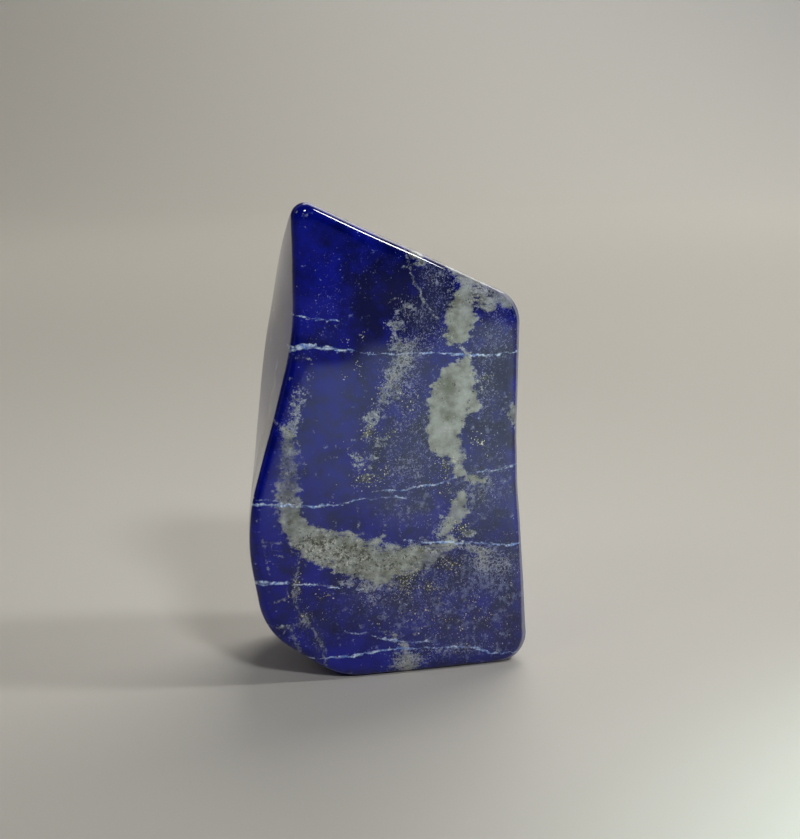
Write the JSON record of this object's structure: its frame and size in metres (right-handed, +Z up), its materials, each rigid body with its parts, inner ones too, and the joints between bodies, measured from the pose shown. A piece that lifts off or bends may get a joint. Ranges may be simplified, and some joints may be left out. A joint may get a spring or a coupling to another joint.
{
  "type": "polished lapis lazuli freeform",
  "caption": "Free-standing polished lapis lazuli stone with a slanted top, rounded edges, two gently domed faces and a flat ground base.",
  "frame": {"origin": "centre of the bounding box's bottom, on the plane of the ground base", "axes": "+Z up along the tall axis, +X to the right seen from the front, -Y out of the large front face; Y is the thin axis"},
  "size_m": [0.0676, 0.046, 0.1103],
  "materials": {
    "lapis": "hand polished to a glassy gloss, deep blue with pale calcite, white veins and pyrite flecks"
  },
  "bodies": {
    "root": {"stone": "lapis"}
  },
  "joints": []
}
